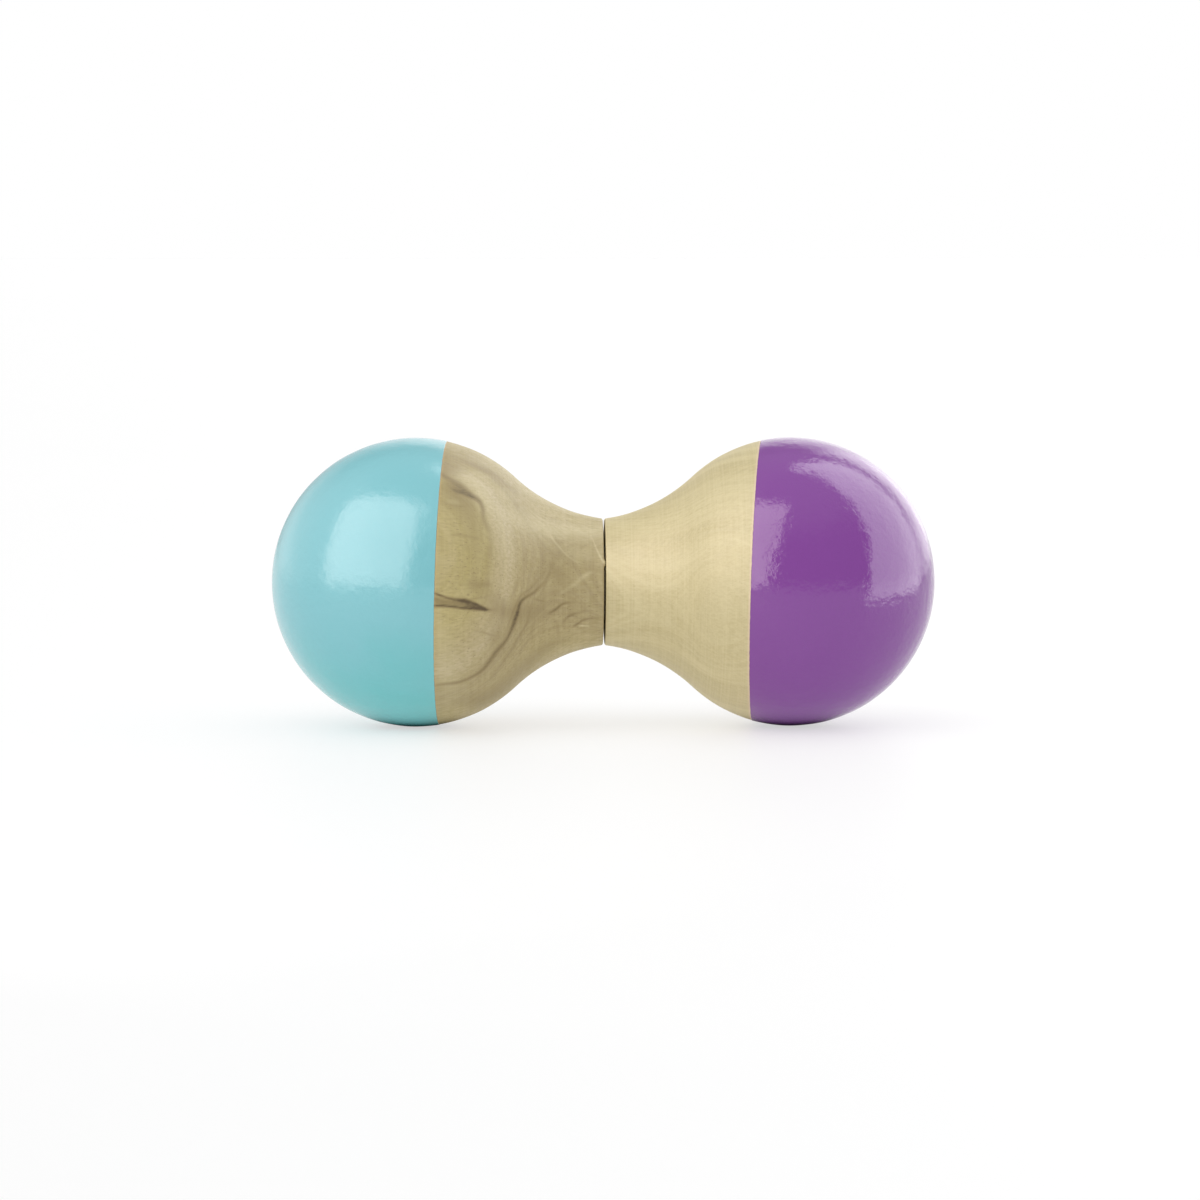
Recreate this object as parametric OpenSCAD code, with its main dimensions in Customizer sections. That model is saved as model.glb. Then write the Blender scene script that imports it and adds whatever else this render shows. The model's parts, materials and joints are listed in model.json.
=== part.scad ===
/* [Outside] */
// Diameter of each round head
head_d = 56; // [50:0.5:68]
// Shortest distance between the two heads, along the axis
heads_apart = 16.6; // [13:0.2:22]
// Diameter of the neck where the two halves meet
neck_d = 24.7; // [20:0.1:30]
// Radius of the hollow curve that runs from head to neck
waist_r = 31.2; // [26:0.2:38]
// Rounding of the rim at the end of each neck
rim_r = 0.8; // [0.4:0.1:1.2]
// Open gap between the two necks
neck_gap = 0.36; // [0.3:0.02:0.5]

/* [Hollow heads] */
// Thickness of wood round the chamber in each head
wall_t = 7.5; // [6:0.25:9]
// Distance of the cap's seam from the middle of the head, towards the neck
seam_offset = 2.5; // [2:0.25:3]
// Length of the spigot that the cap is glued over
spigot_l = 4; // [3:0.25:5]
// Thickness of the spigot's ring
spigot_t = 3.6; // [3:0.1:4.4]
// Glue gap round and beyond the spigot
glue_gap = 0.1; // [0.05:0.05:0.2]

/* [Rattling beads] */
// Diameter of each bead
bead_d = 7; // [5.5:0.1:8.5]
// Gap between a bead and the wall that it rolls on
bead_lift = 0.2; // [0.15:0.05:0.3]
// Gap between two beads that lie side by side
bead_gap = 0.32; // [0.25:0.01:0.5]

/* [Swivel at the neck] */
// Diameter of the steel axle
axle_d = 5; // [4:0.1:6]
// Diameter of the axle's flat head
axle_head_d = 9.6; // [8:0.1:12]
// Thickness of the axle's head
axle_head_t = 2.2; // [1.5:0.1:3]
// Radial gap between the axle and the half that turns on it
running_gap = 0.08; // [0.05:0.01:0.1]
// Diameter of the spacer between the necks
spacer_d = 14; // [11:0.5:17]
// Thickness of the spacer
spacer_t = 1.2; // [1:0.1:1.6]
// Gap left between the spacer and the turning half
end_play = 0.06; // [0.04:0.01:0.1]
// Diameter of the washer on the turning half's seat
washer_d = 10; // [8.5:0.1:12]
// Thickness of that washer
washer_t = 0.8; // [0.6:0.1:1.2]
// Diameter of the push nut on the axle's end
nut_d = 8.4; // [7:0.1:9.6]
// Thickness of the push nut
nut_t = 1.8; // [1.4:0.1:2.4]
// Gap round the washer and the axle's head in their recesses
recess_gap = 0.5; // [0.3:0.1:0.8]
// Depth of the axle's ends below the chamber wall
sink = 0.6; // [0.4:0.1:1]
// Edge break on the axle, the nut and the washer
edge_break = 0.3; // [0.2:0.05:0.4]

/* [Hidden] */
$fn = 160;

paint_blue = "mediumturquoise";
paint_purple = "mediumorchid";
olive_wood = "tan";
pale_wood = "wheat";
bead_wood = "burlywood";
steel = "silver";
nylon = "ivory";

// Distances from the middle of the rattle along one half's axis
head_r = head_d / 2;
neck_r = neck_d / 2;
head_x = head_r + heads_apart / 2;
face_x = neck_gap / 2;
seam_x = head_x - seam_offset;
chamber_r = head_r - wall_t;
chamber_x = head_x - chamber_r;

// The hollow curve touches the head and ends at the neck's rim. Its centre is
// where two circles cross: one round the head's centre, one round the rim.
reach = head_r + waist_r;
run = head_x - face_x;
rim_slant = sqrt(run * run + neck_r * neck_r);
along = (reach * reach - waist_r * waist_r + rim_slant * rim_slant) / (2 * rim_slant);
aside = sqrt(reach * reach - along * along);
waist_x = head_x - (along * run - aside * neck_r) / rim_slant;
waist_y = (along * neck_r + aside * run) / rim_slant;

// Where the hollow curve touches the head
touch_x = head_x + (waist_x - head_x) * head_r / reach;
touch_y = waist_y * head_r / reach;

// Seats of the axle's head and washer, the same depth in both halves
stack_t = washer_t + end_play + nut_t + edge_break;
seat_x = chamber_x - sink - max(stack_t, axle_head_t);
recess_d = max(washer_d, axle_head_d) + 2 * recess_gap;
spacer_sunk = spacer_t - (neck_gap - end_play);
washer_x = seat_x + end_play;
nut_x = washer_x + washer_t;

// Bead track: one bead lies lowest and six lie round it
track_r = chamber_r - bead_d / 2 - bead_lift;
ring_lean = asin((bead_d + bead_gap) / track_r);
ring_count = 6;
ring_start = 30;
ring_step = 360 / ring_count;

// How far a cutting shape runs past the face that it opens
cut = 1;

// Puts one half's pieces on its own end of the rattle's axis, which is X
module on_axis(end) {
    rotate([0, end * 90, 0]) children();
}

// Outlines are drawn as radius by distance from the middle of the rattle,
// and each is turned round the axis as one piece of wood.

// Outside of one half, from the neck's face to the far end of the head
module half_outline() {
    intersection() {
        translate([0, head_x]) circle(r = head_r);
        translate([0, touch_x]) square([head_r, head_x + head_r - touch_x]);
    }
    difference() {
        translate([0, face_x]) square([touch_y, touch_x - face_x]);
        translate([waist_y, waist_x]) circle(r = waist_r);
        rim_waste();
    }
}

// What rounding takes off the sharp edge of the neck's face
module rim_waste() {
    translate([neck_r - rim_r, face_x]) difference() {
        translate([0, -rim_r]) square([2 * rim_r, 2 * rim_r]);
        translate([0, rim_r]) circle(r = rim_r);
    }
}

// Everything on the neck's side of the seam
module neck_side() {
    translate([0, -head_x]) square([2 * head_r, head_x + seam_x]);
}

// Ring that stands on the body's seam and goes into the cap
module spigot_outline(grow) {
    translate([0, seam_x - grow]) square([chamber_r + spigot_t + grow, spigot_l + 2 * grow]);
}

module chamber_outline() {
    translate([0, head_x]) circle(r = chamber_r);
}

// Cap: outer part of the head, hollow, with a socket for the spigot
module cap() {
    rotate_extrude() difference() {
        half_outline();
        neck_side();
        spigot_outline(glue_gap);
        chamber_outline();
    }
}

// Body: neck and inner part of the head, bored for the axle, with a seat for
// the axle's head or washer sunk in the chamber's wall
module wooden_body(bore_r) {
    rotate_extrude() difference() {
        union() {
            intersection() {
                half_outline();
                neck_side();
            }
            spigot_outline(0);
        }
        chamber_outline();
        square([bore_r, head_x]);
        translate([0, seat_x]) square([recess_d / 2, chamber_r]);
    }
}

// Pocket for the spacer in the blue neck's face
module spacer_pocket() {
    cylinder(h = face_x + spacer_sunk, d = spacer_d + 2 * glue_gap);
}

module blue_cap() {
    color(paint_blue) on_axis(-1) cap();
}

module blue_body() {
    color(olive_wood) on_axis(-1) difference() {
        wooden_body(axle_d / 2 + glue_gap);
        spacer_pocket();
    }
}

module purple_cap() {
    color(paint_purple) on_axis(1) cap();
}

module purple_body() {
    color(pale_wood) on_axis(1) wooden_body(axle_d / 2 + running_gap);
}

// Disc with both edges broken, standing on the origin's plane
module broken_disc(d, t, bevel) {
    r = d / 2;
    rotate_extrude() polygon([[0, 0], [r - bevel, 0], [r, bevel],
        [r, t - bevel], [r - bevel, t], [0, t]]);
}

// The same disc threaded on the axle, with its near face at the given place
module disc_on_axle(place, d, t, bevel) {
    translate([place, 0, 0]) on_axis(1) difference() {
        broken_disc(d, t, bevel);
        translate([0, 0, -cut]) cylinder(h = t + 2 * cut, d = axle_d);
    }
}

// Steel axle: its head seats in the blue half and its shank runs to the nut
module neck_axle() {
    shank_l = seat_x + nut_x + nut_t + edge_break;
    color(steel) {
        on_axis(-1) translate([0, 0, seat_x]) broken_disc(axle_head_d, axle_head_t, edge_break);
        translate([-seat_x, 0, 0]) on_axis(1) broken_disc(axle_d, shank_l, edge_break);
    }
}

// Nylon spacer, sunk in the blue neck and proud of it, keeps the necks apart
module neck_spacer() {
    color(nylon) disc_on_axle(face_x - end_play - spacer_t, spacer_d, spacer_t, edge_break / 2);
}

// Washer between the turning half's seat and the push nut
module axle_washer() {
    color(steel) disc_on_axle(washer_x, washer_d, washer_t, edge_break / 2);
}

// Push nut pressed on the axle's end inside the purple head
module axle_push_nut() {
    color(steel) disc_on_axle(nut_x, nut_d, nut_t, edge_break);
}

// One bead at its resting place: number 1 lies lowest, 2 to 7 lie round it
module bead(end, number) {
    lean = number == 1 ? 0 : ring_lean;
    side = ring_start + ring_step * (number - 2);
    color(bead_wood) translate([end * head_x, 0, 0]) rotate([0, 0, side])
        translate([track_r * sin(lean), 0, -track_r * cos(lean)]) sphere(d = bead_d);
}

module blue_bead(number) {
    bead(-1, number);
}

module purple_bead(number) {
    bead(1, number);
}

blue_cap();
blue_body();
purple_cap();
purple_body();
neck_axle();
neck_spacer();
axle_washer();
axle_push_nut();
blue_bead(1);  // blue_bead_1
blue_bead(2);  // blue_bead_2
blue_bead(3);  // blue_bead_3
blue_bead(4);  // blue_bead_4
blue_bead(5);  // blue_bead_5
blue_bead(6);  // blue_bead_6
blue_bead(7);  // blue_bead_7
purple_bead(1);  // purple_bead_1
purple_bead(2);  // purple_bead_2
purple_bead(3);  // purple_bead_3
purple_bead(4);  // purple_bead_4
purple_bead(5);  // purple_bead_5
purple_bead(6);  // purple_bead_6
purple_bead(7);  // purple_bead_7
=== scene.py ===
import json
import math

import bpy
import numpy as np
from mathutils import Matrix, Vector


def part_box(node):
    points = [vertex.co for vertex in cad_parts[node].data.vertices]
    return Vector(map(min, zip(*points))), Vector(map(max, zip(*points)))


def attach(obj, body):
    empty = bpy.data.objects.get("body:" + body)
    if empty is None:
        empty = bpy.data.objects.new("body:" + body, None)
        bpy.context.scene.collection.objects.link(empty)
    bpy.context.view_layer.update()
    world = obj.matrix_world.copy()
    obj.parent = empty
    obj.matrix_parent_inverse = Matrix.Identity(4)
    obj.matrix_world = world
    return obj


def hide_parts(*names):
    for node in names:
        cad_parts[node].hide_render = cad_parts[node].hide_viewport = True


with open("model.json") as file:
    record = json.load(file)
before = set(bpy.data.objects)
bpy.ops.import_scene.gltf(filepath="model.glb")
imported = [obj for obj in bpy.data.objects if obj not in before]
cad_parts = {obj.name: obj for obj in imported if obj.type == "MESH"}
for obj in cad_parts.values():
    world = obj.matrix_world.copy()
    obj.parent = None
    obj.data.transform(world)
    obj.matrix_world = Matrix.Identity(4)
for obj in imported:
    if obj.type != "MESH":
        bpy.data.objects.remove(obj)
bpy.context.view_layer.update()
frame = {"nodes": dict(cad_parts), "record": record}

mm = 0.001
print("frame loaded:", len(frame["nodes"]), "nodes")

# ---- sizes of one half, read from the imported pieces, in millimetres along the rattle's axis
capLow, capHigh = (np.array(corner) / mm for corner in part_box("purple_cap"))
bodyLow, bodyHigh = (np.array(corner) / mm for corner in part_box("purple_body"))
headRadius = float(capHigh[2])
headX = float(capHigh[0] - headRadius)
seamX = float(capLow[0])
faceX = float(bodyLow[0])
spigotTop = float(bodyHigh[0])
floorZ = -headRadius * mm

# the turner's own sizes, which no outer corner of a piece gives away
turning = {
    "neckRadius": 12.35,     # wood at the end of each neck
    "waistRadius": 31.2,     # hollow curve between neck and head
    "rimRound": 0.3,         # softened rim of each neck
    "wall": 7.5,             # wood round the chamber
    "spigotWall": 3.6,       # ring that the cap is glued over
    "glueGap": 0.1,
    "seatX": 12.24,          # where the washer and the axle's head sit
    "seatRadius": 5.5,
    "paintDepth": 0.07,      # paint stands this much over the bare wood
    "seamBreak": 0.06,       # edges broken by this much: at the glued seam,
    "spigotBreak": 0.3,      # at the end of the spigot,
    "mouthBreak": 0.1,       # where the chamber opens,
    "boreBreak": 0.15,       # at both ends of the axle's bore,
    "pocketBreak": 0.08,     # and at the spacer's pocket
    "columns": 400,          # mesh columns round a piece, and rows along each stretch of its outline
    "rimRows": 10,
    "bareRows": 144,
    "paintRows": 21,
    "capRows": 109,
    "bodyChamberRows": 20,
    "capChamberRows": 44,
}

# the paint's edge in section: millimetres past the paint line, and height as a share of the paint's
paintStep = {
    "along": np.array([-0.3, -0.16, -0.08, -0.04, 0.0, 0.04, 0.1, 0.18, 0.32]),
    "height": np.array([0.0, 0.0, 0.05, 0.35, 0.8, 1.12, 1.2, 1.1, 1.0]),
}


def waistCurve():
    # Centre of the hollow curve: the crossing of a circle of radius head + waist round the head's
    # centre with a circle of radius waist round the neck's rim.
    neck, waist = turning["neckRadius"], turning["waistRadius"]
    reach, run = headRadius + waist, headX - faceX
    slant = math.hypot(run, neck)
    along = (reach ** 2 - waist ** 2 + slant ** 2) / (2 * slant)
    aside = math.sqrt(reach ** 2 - along ** 2)
    centreX = headX - (along * run - aside * neck) / slant
    centreR = (along * neck + aside * run) / slant
    touchX = headX + (centreX - headX) * headRadius / reach
    return centreX, centreR, touchX


waistX, waistR, touchX = waistCurve()


def outerRadius(x):
    # radius = sphere of the head beyond the touching point, hollow arc before it
    head = np.sqrt(np.maximum(headRadius ** 2 - (x - headX) ** 2, 0))
    waist = waistR - np.sqrt(np.maximum(turning["waistRadius"] ** 2 - (x - waistX) ** 2, 0))
    return np.where(x > touchX, head, waist)


# ---- helpers for meshes

def meshFromGrid(name, x, r, angle, closed):
    # Surface of revolution: point(i, j) = (x[i, j], r[i, j] cos angle[j], r[i, j] sin angle[j]).
    # closed joins the last row to the first; otherwise the first and last rows end in a pole.
    rows, cols = x.shape
    points = np.stack([x, r * np.cos(angle), r * np.sin(angle)], axis=-1).reshape(-1, 3)
    i, j = np.meshgrid(np.arange(rows if closed else rows - 1), np.arange(cols), indexing="ij")
    nextI, nextJ = (i + 1) % rows, (j + 1) % cols
    quads = np.stack([i * cols + j, i * cols + nextJ, nextI * cols + nextJ, nextI * cols + j], -1)
    quads = quads.reshape(-1, 4)
    fans = np.zeros((0, 3), int)
    if not closed:
        around = np.arange(cols)
        first, last = len(points), len(points) + 1
        ends = [[x[0, 0], 0, 0], [x[-1, 0], 0, 0]]
        points = np.vstack([points, ends])
        startFan = np.stack([np.full(cols, first), (around + 1) % cols, around], -1)
        lastRow = (rows - 1) * cols
        endFan = np.stack([np.full(cols, last), lastRow + around, lastRow + (around + 1) % cols], -1)
        fans = np.vstack([startFan, endFan])
    # volume under the faces tells which way they point
    corners = np.vstack([quads[:, [0, 1, 2]], quads[:, [0, 2, 3]], fans])
    a, b, c = (points[corners[:, k]] for k in range(3))
    if np.einsum("ij,ij->i", a, np.cross(b, c)).sum() < 0:
        quads, fans = quads[:, ::-1], fans[:, ::-1]
    mesh = bpy.data.meshes.new(name)
    loops = np.concatenate([quads.ravel(), fans.ravel()])
    totals = np.concatenate([np.full(len(quads), 4), np.full(len(fans), 3)])
    starts = np.concatenate([[0], np.cumsum(totals)[:-1]])
    mesh.vertices.add(len(points))
    mesh.vertices.foreach_set("co", (points * mm).ravel())
    mesh.loops.add(len(loops))
    mesh.loops.foreach_set("vertex_index", loops.astype(np.int32))
    mesh.polygons.add(len(totals))
    mesh.polygons.foreach_set("loop_start", starts.astype(np.int32))
    mesh.update(calc_edges=True)
    mesh.validate()
    mesh.polygons.foreach_set("use_smooth", np.ones(len(totals), bool))
    mesh.set_sharp_from_angle(angle=math.radians(35))
    piece = bpy.data.objects.new(name, mesh)
    bpy.context.scene.collection.objects.link(piece)
    return piece, points


def setField(piece, name, values):
    field = piece.data.attributes.new(name, "FLOAT", "POINT")
    field.data.foreach_set("value", values.astype(np.float32))


def wave(x, y, z, seed, size):
    # smooth waviness of about one unit: a sum of six sine waves in fixed odd directions
    rng = np.random.default_rng(seed)
    directions = rng.normal(size=(6, 3))
    directions /= np.linalg.norm(directions, axis=1)[:, None]
    phases = rng.uniform(0, 2 * np.pi, 6)
    lengths = size * rng.uniform(0.7, 1.8, 6)
    total = 0
    for direction, phase, length in zip(directions, phases, lengths):
        total = total + np.sin(2 * np.pi * (direction @ np.stack([x, y, z]) / length) + phase)
    return total / 3


def softRamp(value, width):
    # zero below, value above, with a bend about width wide
    return width * np.log1p(np.exp(value / width))


# ---- the two halves

halves = {
    "blue": {
        "end": -1,
        "lineX": 31.0,           # paint edge, from the middle of the rattle
        "leanY": -0.0626,        # how the edge leans, per millimetre of y and z
        "leanZ": -0.0249,
        "bore": 2.6,
        "pocket": 7.1,           # spacer pocket in the neck's face
        "pocketX": 1.08,
        # height on the rim, reach, half width, depth into the wood, length along the neck
        "splinter": (4.5, 0.33, 0.55, 1.2, 0.5),
        "figure": True,
    },
    "purple": {
        "end": 1,
        "lineX": 29.8,
        "leanY": 0.0953,
        "leanZ": 0.0284,
        "bore": 2.58,
        "pocket": 0,
        "pocketX": 0,
        "splinter": None,
        "figure": False,
    },
}


def columnAngles():
    # columns round the piece, twice as close on the side that carries the drawn figure
    share = np.linspace(0, 1, turning["columns"], endpoint=False)
    return 2 * np.pi * share + 0.33 * np.sin(2 * np.pi * share)


# ---- the drawn figure of the olive wood, on the side toward -y

# each line is a row of places along it: x, z, half width in millimetres, strength
figure = {
    "dark": [
        # the vein that bends round the head
        [(-8.9, 7.2, 0.3, 0.02), (-9.8, 4.8, 0.35, 0.2), (-11.4, 1.6, 0.4, 0.34), (-12.4, 0.5, 0.4, 0.5),
         (-13.6, -0.5, 0.4, 0.6), (-15.0, -1.2, 0.4, 0.7), (-16.2, -2.1, 0.45, 0.85),
         (-16.7, -3.0, 0.48, 0.95), (-16.9, -4.3, 0.48, 0.95), (-17.3, -5.8, 0.45, 0.95),
         (-18.0, -7.5, 0.42, 0.85), (-19.0, -9.2, 0.4, 0.7), (-20.2, -11.0, 0.48, 0.7),
         (-21.6, -12.9, 0.48, 0.72), (-23.1, -14.6, 0.48, 0.72), (-24.2, -15.8, 0.42, 0.66),
         (-25.6, -16.7, 0.4, 0.62), (-27.5, -17.4, 0.38, 0.6), (-30.0, -17.9, 0.36, 0.55),
         (-33.0, -18.2, 0.36, 0.45)],
        # its inner shadow line, and fainter ones outside it
        [(-12.0, 3.4, 0.3, 0.05), (-13.0, 1.5, 0.3, 0.3), (-14.3, 0.2, 0.3, 0.42), (-15.7, -0.6, 0.3, 0.42),
         (-17.0, -1.8, 0.3, 0.4), (-17.7, -3.6, 0.3, 0.46), (-18.0, -5.2, 0.3, 0.42), (-18.9, -7.4, 0.3, 0.3),
         (-20.2, -9.6, 0.3, 0.1)],
        [(-10.6, 2.8, 0.3, 0.3), (-12.0, -0.4, 0.3, 0.3), (-13.6, -2.6, 0.3, 0.2), (-14.6, -4.6, 0.3, 0.36),
         (-15.2, -7.0, 0.3, 0.4), (-16.6, -9.6, 0.3, 0.34), (-18.4, -12.2, 0.34, 0.34),
         (-20.5, -15.5, 0.4, 0.3), (-23.4, -18.6, 0.4, 0.15)],
        [(-13.4, -5.6, 0.3, 0.1), (-13.9, -7.8, 0.3, 0.3), (-15.4, -10.8, 0.3, 0.2),
         (-17.4, -14.6, 0.4, 0.2)],
        [(-19.4, -1.6, 0.4, 0.28), (-19.7, -4.6, 0.4, 0.3), (-20.1, -7.2, 0.4, 0.2), (-21.5, -9.8, 0.4, 0.1)],
        [(-16.2, 3.6, 0.5, 0.05), (-16.6, 1.4, 0.5, 0.3), (-17.8, -0.6, 0.4, 0.3), (-18.6, -2.2, 0.4, 0.1)],
        # the knot's two lines, which meet in a point
        [(-34.0, 0.3, 0.24, 0.9), (-31.5, -0.45, 0.3, 0.85), (-30.0, -0.9, 0.3, 0.8), (-28.3, -1.4, 0.4, 1.0),
         (-26.6, -1.7, 0.5, 1.3), (-25.2, -2.15, 0.42, 1.0), (-24.2, -2.7, 0.42, 1.1),
         (-23.2, -3.2, 0.36, 0.9)],
        [(-34.0, -2.25, 0.3, 1.0), (-31.5, -2.3, 0.34, 1.0), (-29.8, -2.45, 0.32, 0.9),
         (-28.0, -2.8, 0.32, 0.9), (-26.0, -3.0, 0.34, 1.0), (-24.5, -3.1, 0.45, 1.3),
         (-23.2, -3.3, 0.4, 1.1), (-22.0, -3.4, 0.36, 0.4), (-20.6, -3.4, 0.4, 0.1)],
        [(-34.0, -1.1, 0.9, 0.7), (-29.0, -1.9, 0.75, 0.6), (-25.2, -2.6, 0.4, 0.8)],
        [(-25.6, -1.3, 0.22, 0.35), (-24.0, -1.1, 0.22, 0.35), (-22.4, -0.8, 0.22, 0.1)],
        # the edge of the yellow heart, darkest high up
        [(-34.0, 22.6, 0.4, 0.5), (-31.8, 22.1, 0.5, 0.55), (-30.2, 21.3, 0.8, 0.5), (-28.7, 20.1, 1.0, 0.62),
         (-27.3, 19.2, 0.9, 0.72), (-25.6, 17.9, 0.6, 0.72), (-24.1, 17.0, 0.5, 0.66),
         (-23.3, 15.4, 0.5, 0.5), (-23.3, 13.6, 0.55, 0.42), (-22.6, 12.0, 0.6, 0.36),
         (-22.0, 10.2, 0.6, 0.2), (-22.1, 7.8, 0.9, 0.36), (-22.2, 5.4, 0.8, 0.16), (-22.6, 1.6, 0.9, 0.22)],
        [(-30.8, 20.4, 0.5, 0.2), (-28.9, 18.9, 0.45, 0.55), (-27.0, 18.4, 0.4, 0.6),
         (-25.8, 17.6, 0.4, 0.4)],
        # brown streaks along the top
        [(-32.0, 24.6, 0.5, 0.35), (-29.6, 24.9, 0.5, 0.1), (-27.5, 24.0, 0.6, 0.26),
         (-24.5, 23.0, 0.7, 0.34), (-22.0, 21.8, 0.6, 0.42), (-20.0, 20.4, 0.55, 0.3),
         (-18.4, 19.0, 0.6, 0.32), (-17.2, 17.9, 0.6, 0.22), (-15.6, 17.2, 0.5, 0.12),
         (-12.0, 15.4, 0.5, 0.16), (-9.0, 14.2, 0.5, 0.1)],
        # arcs low on the neck
        [(-11.2, -5.0, 0.4, 0.3), (-10.2, -4.5, 0.36, 0.6), (-9.4, -4.1, 0.34, 0.8), (-8.6, -3.4, 0.34, 0.7),
         (-7.5, -3.0, 0.3, 0.55), (-5.2, -2.8, 0.3, 0.15)],
        [(-8.3, -7.2, 0.35, 0.3), (-7.5, -5.9, 0.34, 0.5), (-6.5, -5.2, 0.36, 0.6), (-5.0, -4.9, 0.3, 0.35),
         (-2.8, -4.7, 0.3, 0.25)],
        [(-5.8, -7.6, 0.3, 0.6), (-4.9, -7.1, 0.3, 0.7), (-4.2, -6.5, 0.3, 0.6), (-3.0, -6.2, 0.3, 0.5),
         (-1.2, -6.1, 0.28, 0.3)],
        [(-9.4, -9.8, 0.4, 0.15), (-8.9, -8.0, 0.4, 0.3), (-9.6, -6.4, 0.4, 0.2)],
        [(-13.6, -1.9, 0.25, 0.3), (-12.4, -2.3, 0.22, 0.5), (-11.4, -2.6, 0.22, 0.2)],
        # olive shade on the neck and small flecks in the heart
        [(-10.2, 10.2, 0.4, 0.1), (-9.4, 8.9, 0.5, 0.3), (-8.6, 6.6, 1.1, 0.26), (-7.0, 5.2, 1.2, 0.24),
         (-5.6, 3.8, 1.0, 0.16), (-2.4, 3.6, 0.8, 0.16), (-0.8, 3.0, 0.6, 0.2)],
        [(-10.4, 4.8, 0.6, 0.2), (-9.0, 1.8, 1.4, 0.32), (-7.4, 0.4, 1.4, 0.2)],
        [(-30.0, 10.6, 0.3, 0.14), (-28.8, 10.9, 0.3, 0.36), (-26.8, 10.7, 0.3, 0.34),
         (-24.6, 10.2, 0.3, 0.2)],
        [(-29.8, 16.4, 0.25, 0.3), (-28.0, 16.0, 0.25, 0.3), (-25.6, 16.2, 0.25, 0.1)],
        [(-27.6, 1.8, 0.9, 0.1), (-25.2, 1.6, 0.9, 0.34), (-22.4, 1.4, 0.8, 0.3)],
        [(-30.4, -11.8, 0.7, 0.14), (-28.6, -12.2, 0.6, 0.05), (-27.2, -13.8, 0.45, 0.3),
         (-26.2, -13.8, 0.3, 0.1)],
        [(-25.0, -7.6, 0.3, 0.3), (-24.0, -7.6, 0.25, 0.3), (-22.2, -8.2, 0.25, 0.4),
         (-20.6, -8.6, 0.3, 0.2)],
        # broad soft shade: under the top, inside the heart's edge, below the band, along the bottom
        [(-34.0, 24.0, 2.0, 0.5), (-29.5, 22.8, 2.2, 0.5), (-26.0, 22.6, 1.6, 0.15)],
        [(-34.0, 17.6, 1.6, 0.24), (-29.0, 16.6, 2.2, 0.3), (-25.6, 14.0, 2.4, 0.34), (-24.8, 9.6, 2.0, 0.28),
         (-25.0, 4.0, 2.0, 0.18), (-25.2, 1.0, 1.6, 0.24)],
        [(-34.0, 20.4, 1.2, 0.2), (-31.0, 19.4, 1.5, 0.34), (-28.5, 18.2, 1.8, 0.42), (-26.2, 16.6, 1.6, 0.4),
         (-24.6, 14.6, 1.2, 0.2)],
        [(-25.4, 2.4, 2.0, 0.12), (-22.0, -1.6, 2.4, 0.32), (-19.4, -4.0, 2.4, 0.38),
         (-16.0, -4.6, 2.4, 0.36), (-12.4, -4.2, 2.4, 0.3)],
        [(-20.6, -5.0, 2.0, 0.2), (-21.2, -9.6, 2.0, 0.34), (-22.6, -12.0, 1.6, 0.1)],
        [(-30.0, -21.6, 2.0, 0.08), (-25.0, -22.2, 2.6, 0.5), (-21.0, -20.6, 2.6, 0.48),
         (-17.0, -16.6, 2.4, 0.4), (-13.0, -13.2, 2.0, 0.42), (-9.4, -10.6, 1.6, 0.34),
         (-5.0, -9.8, 1.4, 0.1)],
    ],
    "pale": [
        # scratches that run in to the splinter, and the lighter rays beside them
        [(-2.7, 9.6, 0.16, 0.4), (-1.7, 7.3, 0.17, 0.7), (-0.9, 5.7, 0.2, 1.0), (-0.2, 4.7, 0.24, 1.0)],
        [(-13.8, 13.4, 0.5, 0.1), (-12.0, 11.4, 0.4, 0.2), (-10.4, 9.9, 0.25, 0.6), (-9.6, 8.6, 0.22, 0.7),
         (-8.0, 6.8, 0.2, 0.55), (-6.5, 5.4, 0.2, 0.4), (-4.8, 4.5, 0.2, 0.2)],
        [(-8.2, -0.8, 0.4, 0.3), (-5.4, 1.0, 0.4, 0.4), (-3.4, 2.4, 0.45, 0.6), (-2.4, 3.1, 0.3, 0.1)],
        # a short pale streak low on the neck: a painted glint
        [(-4.9, -7.62, 0.13, 0.3), (-4.3, -7.66, 0.15, 1.2), (-3.1, -7.72, 0.13, 0.6)],
        # the light band between heart and vein
        [(-31.6, 22.6, 0.6, 0.1), (-29.0, 21.8, 0.8, 0.4), (-27.0, 21.4, 1.2, 0.5), (-24.0, 19.4, 1.6, 0.5),
         (-22.0, 16.4, 1.6, 0.35), (-20.0, 12.0, 1.8, 0.3), (-18.6, 6.0, 1.6, 0.26), (-19.4, 1.5, 1.3, 0.12)],
        # pale wood below the knot; along the upper side of the neck and in the neck's middle, a painted
        # highlight
        [(-32.5, -5.0, 2.0, 0.2), (-31.0, -10.0, 2.4, 0.36), (-30.2, -16.0, 2.4, 0.32),
         (-29.5, -20.0, 2.0, 0.15)],
        [(-21.0, 15.2, 1.4, 0.2), (-17.4, 13.4, 2.0, 0.4), (-12.0, 11.2, 1.9, 0.5), (-6.0, 10.4, 1.7, 0.62),
         (-0.5, 10.2, 1.6, 0.62)],
        [(-8.6, 7.0, 1.4, 0.15), (-6.2, 6.4, 1.6, 0.34), (-2.6, 6.0, 1.5, 0.24), (-0.4, 6.2, 1.2, 0.2)],
        # small pale places over the band and in the heart
        [(-21.2, 18.8, 1.0, 0.15), (-19.4, 17.8, 1.3, 0.4), (-17.4, 16.2, 1.2, 0.15)],
        [(-33.0, 6.0, 1.6, 0.25), (-30.5, 6.0, 1.6, 0.2), (-28.0, 6.2, 1.4, 0.05)],
        [(-30.0, 17.0, 0.5, 0.3), (-28.6, 16.8, 0.5, 0.5), (-27.6, 16.6, 0.4, 0.1)],
    ],
}


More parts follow.
